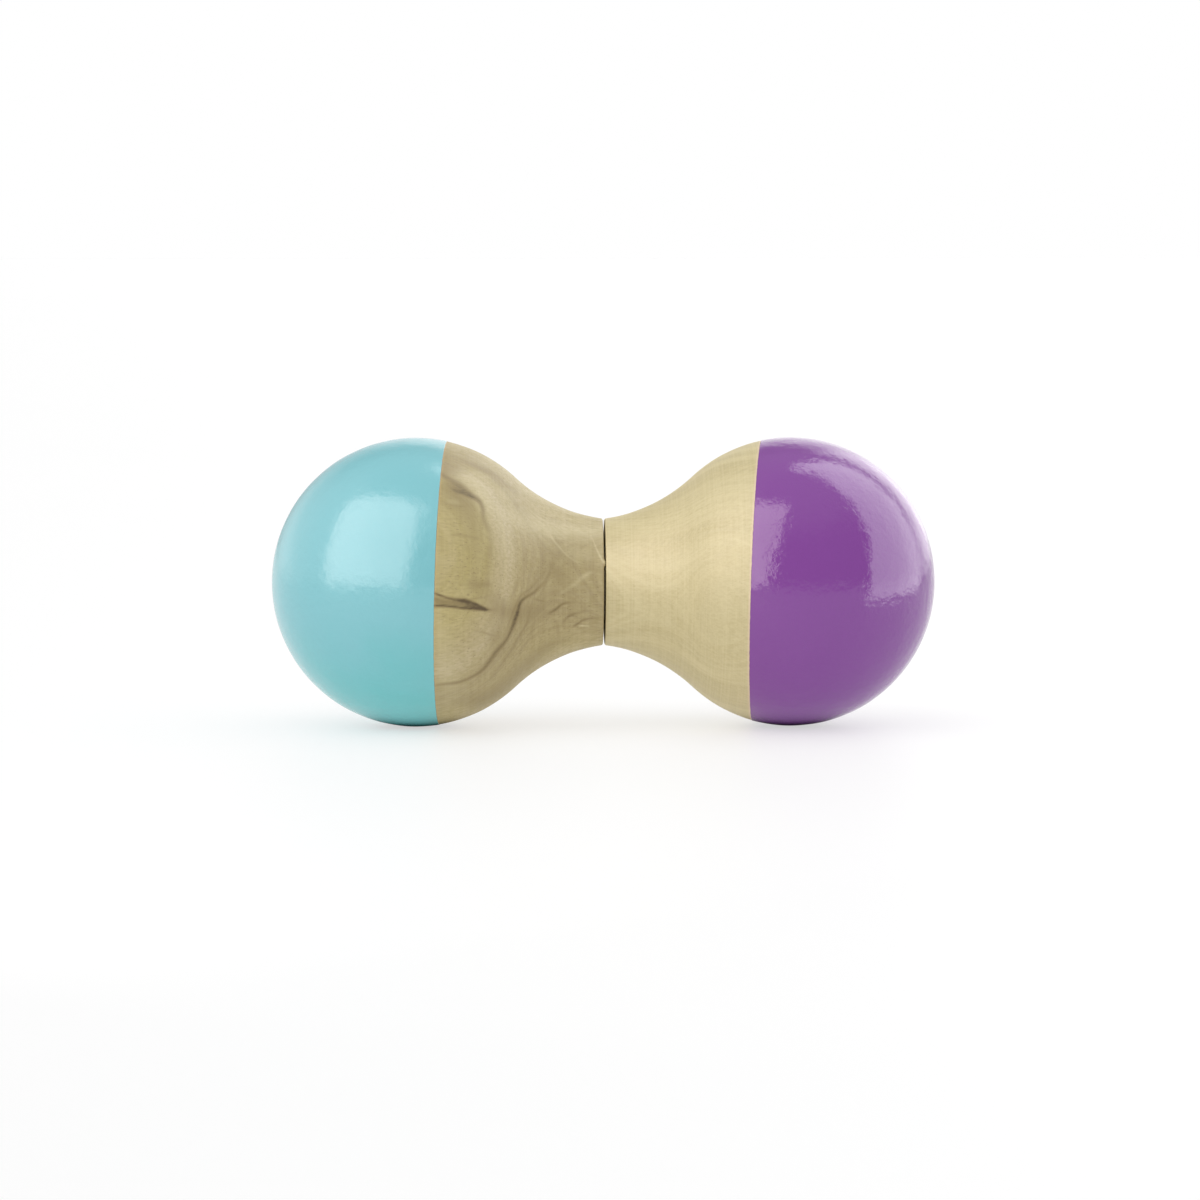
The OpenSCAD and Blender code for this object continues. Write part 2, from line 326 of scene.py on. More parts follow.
def smoothPath(places):
    # cut the corners of a polyline three times; its ends stay
    path = np.array(places, float)
    for _ in range(3):
        early, late = 0.75 * path[:-1] + 0.25 * path[1:], 0.25 * path[:-1] + 0.75 * path[1:]
        path = np.vstack([path[:1], np.stack([early, late], 1).reshape(-1, path.shape[1]), path[-1:]])
    return path


def drawLines(points, lines):
    # strength of a line = strength there x exp(-(distance / half width)^2); the strongest line wins
    # where lines cross, with a part of the others
    x, y, z = points.T
    front = y < 0
    px = x[front] + 0.13 * wave(x[front], y[front], z[front], 21, 4.2)
    pz = z[front] + 0.1 * wave(x[front], y[front], z[front], 22, 3.4)
    total = np.zeros(front.sum())
    for places in lines:
        path = smoothPath(places)
        nearest = np.full(len(px), 1e9)
        width, strength = np.ones(len(px)), np.zeros(len(px))
        for start, end in zip(path[:-1], path[1:]):
            dx, dz = end[:2] - start[:2]
            share = np.clip(((px - start[0]) * dx + (pz - start[1]) * dz) / (dx * dx + dz * dz), 0, 1)
            square = (px - start[0] - share * dx) ** 2 + (pz - start[1] - share * dz) ** 2
            closer = square < nearest
            nearest = np.where(closer, square, nearest)
            width = np.where(closer, start[2] + share * (end[2] - start[2]), width)
            strength = np.where(closer, start[3] + share * (end[3] - start[3]), strength)
        line = strength * np.exp(-nearest / width ** 2)
        total = np.maximum(total, line) + 0.4 * np.minimum(total, line)
    drawn = np.zeros(len(x))
    drawn[front] = total
    return drawn


def ringsBlue(x, y, z):
    # depth behind the face of the plank, bent up by the knot above and by the branch at the neck
    depth = -y + 0.37 * softRamp(z, 2.5) + 0.5 * softRamp(x + 15.5, 1.6)
    return depth + 0.5 * wave(x, y, z, 3, 26) + 0.16 * wave(x, y, z, 5, 9)


def ringsPurple(x, y, z):
    # plank cut at a slant, so the rings show as nested arcs on the neck's side of the head
    return -y - 0.57 * (x - 22) - 0.15 * z + 0.8 * wave(x, y, z, 8, 30) + 0.15 * wave(x, y, z, 9, 8)


def paintLine(half, angle):
    # distance of the paint's edge along the axis, where a leaning plane cuts the head
    x = np.full_like(angle, half["lineX"])
    for _ in range(3):
        r = outerRadius(x)
        x = half["lineX"] + half["leanY"] * r * np.cos(angle) + half["leanZ"] * r * np.sin(angle)
    return x


def latheWave(x, angle, seed):
    # what the hand leaves on turned wood: a few hundredths of a millimetre
    return 0.012 * np.sin(x * 0.9 + seed) + 0.01 * np.sin(2 * angle + x * 0.35 + seed)


def chamberWall(chamber, start, stop, rows):
    # arc of the chamber's wall between two angles at the head's centre
    return [(headX + chamber * math.cos(a), chamber * math.sin(a)) for a in np.linspace(start, stop, rows)]


def turnBody(name, half):
    angle = columnAngles()
    line = paintLine(half, angle)
    step = turning["paintDepth"]
    rim = turning["rimRound"]
    edge = paintStep["along"]
    # outside, as distances along the axis: rim, bare wood, paint edge, painted wood, seam
    turn = np.linspace(np.pi / 2, 0, turning["rimRows"])
    rimX = faceX + rim * (1 - np.sin(turn))
    rimCut = rim * (1 - np.cos(turn))
    bareShare = np.linspace(0, 1, turning["bareRows"] + 2)[1:-1]
    paintShare = 1 - (1 - np.linspace(0, 1, turning["paintRows"] + 1)[1:]) ** 1.6
    cols = len(angle)
    x = [np.repeat(rimX[:, None], cols, 1)]
    cut = [np.repeat((rimCut + step)[:, None], cols, 1)]
    start, stop = faceX + rim, line + edge[0]
    x.append(start + bareShare[:, None] * (stop - start))
    cut.append(np.full((len(bareShare), cols), step))
    x.append(line + edge[:, None])
    cut.append(np.repeat((step * (1 - paintStep["height"]))[:, None], cols, 1))
    start = line + edge[-1]
    x.append(start + paintShare[:, None] * (seamX - start))
    cut.append(np.zeros((len(paintShare), cols)))
    x, cut = np.vstack(x), np.vstack(cut)
    r = outerRadius(x) - cut + latheWave(x, angle, half["end"]) * (x > faceX + rim)
    # inside, as one more outline from the seam round to the neck's face
    chamber = headRadius - turning["wall"]
    spigot = chamber + turning["spigotWall"]
    spigotMouth = math.sqrt(chamber ** 2 - (spigotTop - headX) ** 2)
    seatMouth = headX - math.sqrt(chamber ** 2 - turning["seatRadius"] ** 2)
    seamBreak, spigotBreak = turning["seamBreak"], turning["spigotBreak"]
    boreBreak, pocketBreak = turning["boreBreak"], turning["pocketBreak"]
    inner = [
        (seamX, spigot + seamBreak), (seamX + seamBreak, spigot), (spigotTop - spigotBreak, spigot),
        (spigotTop, spigot - spigotBreak), (spigotTop, spigotMouth + turning["mouthBreak"]),
    ]
    openAngle = math.atan2(spigotMouth, spigotTop - headX)
    seatAngle = math.atan2(turning["seatRadius"], seatMouth - headX)
    inner += chamberWall(chamber, openAngle, seatAngle, turning["bodyChamberRows"])
    inner += [(turning["seatX"], turning["seatRadius"]), (turning["seatX"], half["bore"] + boreBreak),
              (turning["seatX"] - boreBreak, half["bore"])]
    if half["pocket"]:
        inner += [(half["pocketX"], half["bore"]), (half["pocketX"], half["pocket"]),
                  (faceX + pocketBreak, half["pocket"]), (faceX, half["pocket"] + pocketBreak)]
    else:
        inner += [(faceX + boreBreak, half["bore"]), (faceX, half["bore"] + boreBreak)]
    inner = np.array(inner)
    x = np.vstack([x, np.repeat(inner[:, :1], cols, 1)])
    r = np.vstack([r, np.repeat(inner[:, 1:], cols, 1)])
    if half["splinter"]:
        # torn fibres that stand out from the rim into the gap, ragged across their width
        height, reach, width, depth, length = half["splinter"]
        across = (r * np.sin(angle) - height) / width
        onFront = (np.cos(angle) < 0) * (r > turning["neckRadius"] - depth)
        nearRim = np.exp(-((x - faceX) / length) ** 2) * onFront
        x = x - reach * nearRim * np.exp(-across ** 2 * (1 + 0.5 * np.sin(across * 9)))
    piece, points = meshFromGrid(name, half["end"] * x, r, angle, closed=True)
    rings = ringsBlue if half["end"] < 0 else ringsPurple
    setField(piece, "ring", rings(*points.T))
    if half["figure"]:
        setField(piece, "dark", drawLines(points, figure["dark"]))
        setField(piece, "pale", drawLines(points, figure["pale"]))
    return piece


def turnCap(name, half):
    angle = columnAngles()
    cols = len(angle)
    chamber = headRadius - turning["wall"]
    socket = chamber + turning["spigotWall"] + turning["glueGap"]
    socketEnd = spigotTop + turning["glueGap"]
    socketMouth = math.sqrt(chamber ** 2 - (socketEnd - headX) ** 2)
    # outside from the pole to the seam, with the rows drawn together at the seam
    share = 1 - (1 - np.linspace(0, 1, turning["capRows"] + 1)[1:]) ** 1.5
    seamAngle = math.acos((seamX - headX) / headRadius)
    a = share * seamAngle
    outside = np.stack([headX + headRadius * np.cos(a), headRadius * np.sin(a)], -1)
    # inside from the seam through the socket to just short of the chamber's pole
    seamBreak = turning["seamBreak"]
    inner = [(seamX, socket + seamBreak), (seamX + seamBreak, socket), (socketEnd, socket),
             (socketEnd, socketMouth + turning["mouthBreak"])]
    openAngle = math.atan2(socketMouth, socketEnd - headX)
    inner += chamberWall(chamber, openAngle, 0.02, turning["capChamberRows"])
    outline = np.vstack([outside, inner])
    x = np.repeat(outline[:, :1], cols, 1)
    r = np.repeat(outline[:, 1:], cols, 1)
    # the lathe's waves cover the outside and fade toward the pole
    waved = np.zeros((len(outline), 1))
    waved[:len(outside)] = np.clip(outside[:, 1:] / 6, 0, 1)
    r = r + latheWave(x, angle, half["end"]) * waved
    return meshFromGrid(name, half["end"] * x, r, angle, closed=False)[0]


print("turning the wood")
blueBody = turnBody("blueBody", halves["blue"])
purpleBody = turnBody("purpleBody", halves["purple"])
blueCap = turnCap("blueCap", halves["blue"])
purpleCap = turnCap("purpleCap", halves["purple"])


# ---- helpers for materials

def feed(tree, socket, value):
    if isinstance(value, bpy.types.NodeSocket):
        tree.links.new(value, socket)
    else:
        socket.default_value = value


def calc(tree, operation, *values, clamp=False):
    node = tree.nodes.new("ShaderNodeMath")
    node.operation = operation
    node.use_clamp = clamp
    for socket, value in zip(node.inputs, values):
        feed(tree, socket, value)
    return node.outputs[0]


def ease(tree, value, low, high, toLow=0.0, toHigh=1.0):
    # smooth step from low to high
    node = tree.nodes.new("ShaderNodeMapRange")
    node.interpolation_type = "SMOOTHSTEP"
    for socket, given in zip(node.inputs, (value, low, high, toLow, toHigh)):
        feed(tree, socket, given)
    return node.outputs[0]


def mottle(tree, vector, scale, detail=3.0, roughness=0.55, distortion=0.0):
    node = tree.nodes.new("ShaderNodeTexNoise")
    feed(tree, node.inputs["Vector"], vector)
    node.inputs["Scale"].default_value = scale
    node.inputs["Detail"].default_value = detail
    node.inputs["Roughness"].default_value = roughness
    node.inputs["Distortion"].default_value = distortion
    return node.outputs[0]


def stretch(tree, vector, x, y, z):
    node = tree.nodes.new("ShaderNodeVectorMath")
    node.operation = "MULTIPLY"
    feed(tree, node.inputs[0], vector)
    node.inputs[1].default_value = (x, y, z)
    return node.outputs[0]


def mixColour(tree, factor, first, second):
    node = tree.nodes.new("ShaderNodeMix")
    node.data_type = "RGBA"
    feed(tree, node.inputs[0], factor)
    feed(tree, node.inputs[6], first)
    feed(tree, node.inputs[7], second)
    return node.outputs[2]


def linear(value):
    # screen value from 0 to 255 as linear light
    share = value / 255
    return share / 12.92 if share <= 0.04045 else ((share + 0.055) / 1.055) ** 2.4


def tint(red, green, blue):
    # screen colour as the linear colour that a shader wants
    return (linear(red), linear(green), linear(blue), 1.0)


def mixNumber(tree, factor, first, second):
    node = tree.nodes.new("ShaderNodeMix")
    feed(tree, node.inputs[0], factor)
    feed(tree, node.inputs[2], first)
    feed(tree, node.inputs[3], second)
    return node.outputs[0]


def axes(tree, vector):
    node = tree.nodes.new("ShaderNodeSeparateXYZ")
    feed(tree, node.inputs[0], vector)
    return node.outputs


def squareSum(tree, first, second):
    return calc(tree, "MULTIPLY_ADD", first, first, calc(tree, "MULTIPLY", second, second))


def joinAxes(tree, x, y, z):
    node = tree.nodes.new("ShaderNodeCombineXYZ")
    for socket, value in zip(node.inputs, (x, y, z)):
        feed(tree, socket, value)
    return node.outputs[0]


def newGroup(name, inputs, outputs):
    group = bpy.data.node_groups.new(name, "ShaderNodeTree")
    for label, kind, default in inputs:
        socket = group.interface.new_socket(name=label, in_out="INPUT", socket_type=kind)
        socket.default_value = default
    for label, kind in outputs:
        group.interface.new_socket(name=label, in_out="OUTPUT", socket_type=kind)
    start, end = group.nodes.new("NodeGroupInput"), group.nodes.new("NodeGroupOutput")
    return group, start.outputs, end.inputs


def useGroup(tree, group, **values):
    node = tree.nodes.new("ShaderNodeGroup")
    node.node_tree = group
    for label, value in values.items():
        feed(tree, node.inputs[label], value)
    return node.outputs


def placeInMillimetres(tree):
    node = tree.nodes.new("ShaderNodeTexCoord")
    return stretch(tree, node.outputs["Object"], 1 / mm, 1 / mm, 1 / mm)


def newMaterial(name):
    material = bpy.data.materials.new(name)
    material.use_nodes = True
    tree = material.node_tree
    return material, tree, tree.nodes["Principled BSDF"]


def addBump(tree, shader, height, strength, distance):
    node = tree.nodes.new("ShaderNodeBump")
    node.inputs["Strength"].default_value = strength
    node.inputs["Distance"].default_value = distance
    feed(tree, node.inputs["Height"], height)
    tree.links.new(node.outputs[0], shader.inputs["Normal"])


# ---- shared groups

def buildGrainGroup():
    # Rings, fibres and pores from the ring depth in millimetres and the place in millimetres.
    # Bands vary with ring depth and hardly along x or z, so streaks follow the rings. Each of the
    # others is a noise drawn out along the wood (fibre, pore), round it (lathe) or in all ways (cloud).
    group, given, out = newGroup(
        "turnedGrain",
        [("Place", "NodeSocketVector", (0, 0, 0)), ("Ring", "NodeSocketFloat", 0.0),
         ("Spacing", "NodeSocketFloat", 1.5)],
        [("Band", "NodeSocketFloat"), ("Streak", "NodeSocketFloat"), ("Fibre", "NodeSocketFloat"),
         ("Pore", "NodeSocketFloat"), ("Cloud", "NodeSocketFloat"), ("Lathe", "NodeSocketFloat")])
    place = given["Place"]
    across = axes(group, place)
    x, z = across["X"], across["Z"]
    depth = calc(group, "DIVIDE", given["Ring"], given["Spacing"])
    bandPlace = joinAxes(group, depth, calc(group, "MULTIPLY", x, 0.02), calc(group, "MULTIPLY", z, 0.03))
    finePlace = joinAxes(group, calc(group, "MULTIPLY", depth, 4.5), calc(group, "MULTIPLY", x, 0.07),
                         calc(group, "MULTIPLY", z, 0.07))
    # output: where its noise is read, detail, roughness, and the noise values taken as 0 and 1
    for label, noisePlace, detail, roughness, low, high in (
        ("Band", bandPlace, 2.0, 0.5, 0.3, 0.7),
        ("Streak", finePlace, 4.0, 0.65, 0.34, 0.66),
        ("Fibre", stretch(group, place, 0.1, 2.2, 2.2), 4.0, 0.65, 0.32, 0.68),
        ("Lathe", stretch(group, place, 3.5, 0.04, 0.04), 2.0, 0.6, 0.35, 0.7),
        ("Pore", stretch(group, place, 0.22, 4.2, 4.2), 1.0, 0.5, 0.62, 0.72),
        ("Cloud", stretch(group, place, 0.06, 0.11, 0.11), 2.0, 0.5, 0.3, 0.7),
    ):
        feed(group, out[label], ease(group, mottle(group, noisePlace, 1.0, detail, roughness), low, high))
    return group


def buildPaintGroup():
    # Where the paint lies: beyond a leaning plane, and only on the outside of the head.
    # Edge is a thin line along the paint: a stain in the wood, and on the purple half partly a painted
    # highlight of the paint's raised rim; Peel is the paint's own faint unevenness, broad waves with finer
    # ones on them.
    group, given, out = newGroup(
        "paintEdge",
        [("Place", "NodeSocketVector", (0, 0, 0)), ("End", "NodeSocketFloat", 1.0),
         ("Line", "NodeSocketFloat", 30.0), ("Lean Y", "NodeSocketFloat", 0.0),
         ("Lean Z", "NodeSocketFloat", 0.0)],
        [("Paint", "NodeSocketFloat"), ("Edge", "NodeSocketFloat"), ("Peel", "NodeSocketFloat")])
    place = given["Place"]
    x, y, z = axes(group, place)
    along = calc(group, "MULTIPLY", x, given["End"])
    lean = calc(group, "ADD", calc(group, "MULTIPLY", y, given["Lean Y"]),
                calc(group, "MULTIPLY", z, given["Lean Z"]))
    raggedness = calc(group, "MULTIPLY_ADD", mottle(group, place, 1.3, 2.0), 0.16, -0.08)
    past = calc(group, "SUBTRACT", calc(group, "SUBTRACT", along, given["Line"]), lean)
    past = calc(group, "ADD", past, raggedness)
    fromHead = calc(group, "SUBTRACT", along, headX)
    square = squareSum(group, y, z)
    distance = calc(group, "SQRT", calc(group, "MULTIPLY_ADD", fromHead, fromHead, square))
    outside = ease(group, distance, headRadius - 0.6, headRadius - 0.4)
    paint = calc(group, "MULTIPLY", ease(group, past, -0.06, 0.02), outside)
    nearEdge = calc(group, "MULTIPLY", ease(group, past, -0.55, -0.15),
                    ease(group, past, 0.0, 0.08, 1.0, 0.0))
    peel = calc(group, "MULTIPLY_ADD", mottle(group, place, 0.33, 1.0), 1.6,
                mottle(group, place, 1.1, 3.0, 0.6))
    feed(group, out["Paint"], paint)
    feed(group, out["Edge"], calc(group, "MULTIPLY", nearEdge, outside))
    feed(group, out["Peel"], peel)
    return group


grainGroup = buildGrainGroup()
paintGroup = buildPaintGroup()


# ---- materials

paints = {
    "blue": {
        "colour": tint(127, 194, 202),
        # painted shade: the tone the paint takes toward the bottom
        "paintedShadeTone": tint(106, 192, 194),
        "roughness": 0.17,
        "coat": 0.2,
        "edge": tint(204, 162, 106),   # wood stained along the paint
        "edgeShare": 0.25,
    },
    "purple": {
        "colour": tint(131, 70, 151),
        # painted shade: the tone the paint takes toward the bottom
        "paintedShadeTone": tint(127, 66, 147),
        "roughness": 0.07,
        "coat": 0.0,
        # pale line along the paint: partly bled colour, partly a painted highlight of the paint's raised rim
        "edge": tint(234, 200, 186),
        "edgeShare": 0.4,
    },
}

# Woods: the base colour, then tones laid over it one after another as (grain mask, share, tone).
# Roughness is the plain value and what the fibres add; relief is the height of a pore against a
# fibre's.
woods = {
    "olive": {
        "ringSpacing": 1.6,
        # colour by depth below the plank's face, in millimetres
        "bands": [
            (-30, tint(186, 166, 124)), (-16, tint(172, 152, 112)), (-6, tint(190, 172, 128)),
            (4, tint(178, 161, 112)), (10, tint(192, 176, 124)), (13.5, tint(184, 168, 118)),
            (16.5, tint(170, 153, 112)), (19.0, tint(158, 141, 104)), (21.2, tint(176, 160, 120)),
            (22.8, tint(192, 177, 143)), (24.6, tint(186, 170, 130)), (26.0, tint(178, 163, 104)),
            (32, tint(188, 174, 113)),
        ],
        "tones": [
            ("Band", 0.22, tint(146, 128, 80)), ("Streak", 0.34, tint(200, 186, 138)),
            ("Fibre", 0.5, tint(152, 136, 84)), ("Pore", 0.5, tint(122, 103, 60)),
            ("Lathe", 0.14, tint(206, 192, 150)), ("Cloud", 0.15, tint(188, 173, 130)),
        ],
        # pale figure of the wood, and the painted highlight on the neck's upper side
        "paleFigureAndHighlight": tint(208, 196, 154),
        "shade": tint(134, 115, 72),
        "darkLine": tint(77, 59, 31),
        "roughness": (0.4, 0.16),
        "relief": -0.6,
    },
    "pale": {
        "ringSpacing": 2.2,
        "base": tint(205, 191, 146),
        "tones": [
            ("Band", 1.0, tint(187, 172, 126)), ("Streak", 0.5, tint(182, 165, 114)),
            ("Fibre", 0.4, tint(218, 206, 160)), ("Pore", 0.25, tint(168, 148, 98)),
            ("Lathe", 0.2, tint(224, 212, 172)), ("Cloud", 0.25, tint(208, 194, 150)),
        ],
        "roughness": (0.4, 0.14),
        "relief": -0.5,
    },
    "chamber": {
        "ringSpacing": 1.8,
        "base": {"blue": tint(190, 174, 132), "purple": tint(214, 200, 158)},
        "tones": [("Band", 1.0, tint(178, 158, 116)), ("Fibre", 0.3, tint(214, 198, 158))],
        "roughness": (0.6, 0.0),
    },
    "bead": {
        "ringSpacing": 0.9,
        "base": tint(206, 176, 128),
        "tones": [("Band", 1.0, tint(176, 142, 96)), ("Pore", 0.4, tint(136, 104, 64))],
        "roughness": (0.45, 0.15),
    },
}


def layTones(tree, grain, colour, tones):
    for mask, share, tone in tones:
        colour = mixColour(tree, calc(tree, "MULTIPLY", grain[mask], share), colour, tone)
    return colour


def woodRoughness(tree, grain, wood):
    plain, fibres = wood["roughness"]
    return calc(tree, "MULTIPLY_ADD", grain["Fibre"], fibres, plain)


def paintColour(tree, place, paint):
    # two close tones: the paint turns deeper toward the bottom of each head, a painted shade, with a mottled
    # border between them
    height = axes(tree, place)["Z"]
    cloud = calc(tree, "MULTIPLY_ADD", mottle(tree, place, 0.09, 2.0), 14.0, -7.0)
    share = ease(tree, calc(tree, "ADD", height, cloud), -4.0, -26.0)
    return mixColour(tree, share, paint["colour"], paint["paintedShadeTone"])


def paintOn(tree, place, half):
    return useGroup(tree, paintGroup, **{
        "Place": place, "End": float(half["end"]), "Line": half["lineX"],
        "Lean Y": half["leanY"], "Lean Z": half["leanZ"]})


def finishHalf(side, bareColour, bareRoughness, bareHeight, tree, shader, place):
    # lays the paint over a wood, whose own colour, roughness and height are given
    paint = paints[side]
    coat = paintOn(tree, place, halves[side])
    # stain along the paint; on the purple half partly a painted highlight
    edgeStainAndHighlight = calc(tree, "MULTIPLY", coat["Edge"], paint["edgeShare"])
    colour = mixColour(tree, edgeStainAndHighlight, bareColour, paint["edge"])
    colour = mixColour(tree, coat["Paint"], colour, paintColour(tree, place, paint))
    feed(tree, shader.inputs["Base Color"], colour)
    paintRoughness = calc(tree, "MULTIPLY_ADD", coat["Peel"], 0.03, paint["roughness"] - 0.02)
    feed(tree, shader.inputs["Roughness"], mixNumber(tree, coat["Paint"], bareRoughness, paintRoughness))
    if paint["coat"]:
        feed(tree, shader.inputs["Coat Weight"], calc(tree, "MULTIPLY", coat["Paint"], paint["coat"]))
        shader.inputs["Coat Roughness"].default_value = 0.1
    paintHeight = calc(tree, "MULTIPLY", coat["Peel"], 5.0)
    addBump(tree, shader, mixNumber(tree, coat["Paint"], bareHeight, paintHeight), 1.0, 0.012 * mm)


def field(tree, name):
    node = tree.nodes.new("ShaderNodeAttribute")
    node.attribute_name = name
    return node.outputs["Fac"]


def bandsOfColour(tree, value, stops):
    # stops: (value, colour) pairs in order
    low, high = stops[0][0], stops[-1][0]
    node = tree.nodes.new("ShaderNodeValToRGB")
    share = calc(tree, "DIVIDE", calc(tree, "SUBTRACT", value, low), high - low)
    feed(tree, node.inputs[0], share)
    ramp = node.color_ramp
    while len(ramp.elements) < len(stops):
        ramp.elements.new(0.5)
    for element, (at, colour) in zip(ramp.elements, stops):
        element.position = (at - low) / (high - low)
        element.color = colour
    return node.outputs[0]


def blueWoodMaterial():
    # olive-brown wood: a yellow heart, a pale band round it, a dark vein, then brown
    material, tree, shader = newMaterial("oliveWood")
    wood = woods["olive"]
    place = placeInMillimetres(tree)
    ring = field(tree, "ring")
    grain = useGroup(tree, grainGroup, Place=place, Ring=ring, Spacing=wood["ringSpacing"])
    # the bands wander by up to 0.6 millimetres to either side
    wanderPlace = stretch(tree, place, 0.12, 0.3, 0.3)
    wander = calc(tree, "MULTIPLY_ADD", mottle(tree, wanderPlace, 1.0, 2.0), 1.2, -0.6)
    colour = bandsOfColour(tree, calc(tree, "ADD", ring, wander), wood["bands"])
    colour = layTones(tree, grain, colour, wood["tones"])
    # drawn lines over them, broken a little by the fibres that cross
    broken = calc(tree, "MULTIPLY_ADD", grain["Fibre"], -0.3, 1.15)
    dark = calc(tree, "MULTIPLY", field(tree, "dark"), broken)
    pale = calc(tree, "MULTIPLY", field(tree, "pale"), broken, clamp=True)
    # pale lines: light figure of the wood, a painted highlight on the neck's upper side and a painted glint
    # low on it
    colour = mixColour(tree, calc(tree, "MULTIPLY", pale, 0.8), colour, wood["paleFigureAndHighlight"])
    colour = mixColour(tree, ease(tree, dark, 0.0, 0.7, 0.0, 0.7), colour, wood["shade"])
    colour = mixColour(tree, ease(tree, dark, 0.45, 1.25, 0.0, 0.88), colour, wood["darkLine"])
    height = calc(tree, "MULTIPLY_ADD", grain["Pore"], wood["relief"], grain["Fibre"])
    finishHalf("blue", colour, woodRoughness(tree, grain, wood), height, tree, shader, place)
    return material


def purpleWoodMaterial():
    # pale, even wood with faint nested arcs and fine short fibres
    material, tree, shader = newMaterial("paleWood")
    wood = woods["pale"]
    place = placeInMillimetres(tree)
    ring = field(tree, "ring")
    grain = useGroup(tree, grainGroup, Place=place, Ring=ring, Spacing=wood["ringSpacing"])
    colour = layTones(tree, grain, wood["base"], wood["tones"])
    height = calc(tree, "MULTIPLY_ADD", grain["Pore"], wood["relief"], grain["Fibre"])
    finishHalf("purple", colour, woodRoughness(tree, grain, wood), height, tree, shader, place)
    return material


def capMaterial(name, side):
    # paint outside; bare turned wood in the chamber and the socket
    material, tree, shader = newMaterial(name)
    wood = woods["chamber"]
    place = placeInMillimetres(tree)
    ring = calc(tree, "MULTIPLY", axes(tree, place)["Y"], -1.0)
    grain = useGroup(tree, grainGroup, Place=place, Ring=ring, Spacing=wood["ringSpacing"])
    colour = layTones(tree, grain, wood["base"][side], wood["tones"])
    finishHalf(side, colour, woodRoughness(tree, grain, wood), grain["Fibre"], tree, shader, place)
    return material


def beadMaterial():
    # small turned balls; the rings lie on a slope across each
    material, tree, shader = newMaterial("beadWood")
    wood = woods["bead"]
    place = placeInMillimetres(tree)
    across = axes(tree, place)
    ring = calc(tree, "ADD", calc(tree, "MULTIPLY", across["Z"], 0.8),
                calc(tree, "MULTIPLY", across["Y"], 0.6))
    grain = useGroup(tree, grainGroup, Place=place, Ring=ring, Spacing=wood["ringSpacing"])
    feed(tree, shader.inputs["Base Color"], layTones(tree, grain, wood["base"], wood["tones"]))
    feed(tree, shader.inputs["Roughness"], woodRoughness(tree, grain, wood))
    addBump(tree, shader, grain["Fibre"], 0.6, 0.02 * mm)
    return material


def steelMaterial():
    # bright steel with turning marks that run round the axle
    material, tree, shader = newMaterial("axleSteel")
    place = placeInMillimetres(tree)
    x, y, z = axes(tree, place)
    fromAxis = calc(tree, "SQRT", squareSum(tree, y, z))
    marks = mottle(tree, joinAxes(tree, x, fromAxis, 0.0), 9.0, 2.0)
    smudge = mottle(tree, place, 0.4, 3.0)
    feed(tree, shader.inputs["Base Color"], mixColour(tree, smudge, tint(196, 196, 198), tint(168, 168, 172)))
    shader.inputs["Metallic"].default_value = 1.0
    feed(tree, shader.inputs["Roughness"], calc(tree, "MULTIPLY_ADD", smudge, 0.2, 0.2))
    addBump(tree, shader, marks, 0.5, 0.01 * mm)
    return material


def nylonMaterial():
    # milky plastic, faintly cloudy
    material, tree, shader = newMaterial("spacerNylon")
    place = placeInMillimetres(tree)
    cloud = mottle(tree, place, 0.7, 3.0)
    feed(tree, shader.inputs["Base Color"], mixColour(tree, cloud, tint(232, 230, 222), tint(214, 210, 198)))
    feed(tree, shader.inputs["Roughness"], calc(tree, "MULTIPLY_ADD", cloud, 0.2, 0.4))
    addBump(tree, shader, mottle(tree, place, 6.0, 2.0), 0.4, 0.01 * mm)
    return material


print("mixing the finishes")
blueBody.data.materials.append(blueWoodMaterial())
purpleBody.data.materials.append(purpleWoodMaterial())
blueCap.data.materials.append(capMaterial("bluePaint", "blue"))
purpleCap.data.materials.append(capMaterial("purplePaint", "purple"))

for piece, node, body, slotName in (
    (blueBody, "blue_body", "blue_half", "olive_wood"),
    (purpleBody, "purple_body", "purple_half", "pale_wood"),
    (blueCap, "blue_cap", "blue_half", "blue_paint"),
    (purpleCap, "purple_cap", "purple_half", "purple_paint"),
):
    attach(piece, body)
    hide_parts(node)

# the inside pieces keep the exact shapes of the frame and get their finishes here
hiddenFinishes = {
    "bead_wood": beadMaterial(),
    "axle_steel": steelMaterial(),
    "spacer_nylon": nylonMaterial(),
}
slotOfNode = {part["node"]: part["material_slot"] for part in frame["record"]["subparts"]}
for nodeName, node in frame["nodes"].items():
    finish = hiddenFinishes.get(slotOfNode[nodeName])
    if finish:
        node.data.materials.clear()
        node.data.materials.append(finish)


# ---- studio

studio = {
    "floorSize": 9.0,                # metres
    "floorGreys": (0.34, 0.33),
    "paintedFloorGlow": 0.585,              # painted glow: light the floor gives off, though it is no lamp
    "shadedFoot": (5.0, 14.0),       # millimetres round each foot with none of it, and with all; this paints shade on the undersides
    "cameraDistance": 1.1,
    "cameraHeightDegrees": 4.6,
    "cameraTurnDegrees": -1.4,
    "lens": 169.97,
    "aim": (-0.68, 0.0, -3.54),      # millimetres from the rattle's middle
}

# panels that only the gloss shows: middle in metres, the way each faces in radians (round the
# upright axis, up, and its own lean), size in metres, and brightness
softboxes = {
    "leftPanel": {
        "place": (-0.2277, -0.1635, 0.2193), "turn": 1.0462, "tilt": -0.3744, "lean": 0.0,
        "width": 0.44, "height": 0.4621, "radiance": 3.65, "colour": (1.0, 0.9, 0.88),
    },
    "rightPanel": {
        "place": (0.285, 0.151, 0.166), "turn": -3.8746, "tilt": -0.3548, "lean": -0.1846,
        "width": 0.4407, "height": 1.331, "radiance": 3.1, "colour": (1, 1, 1),
    },
}

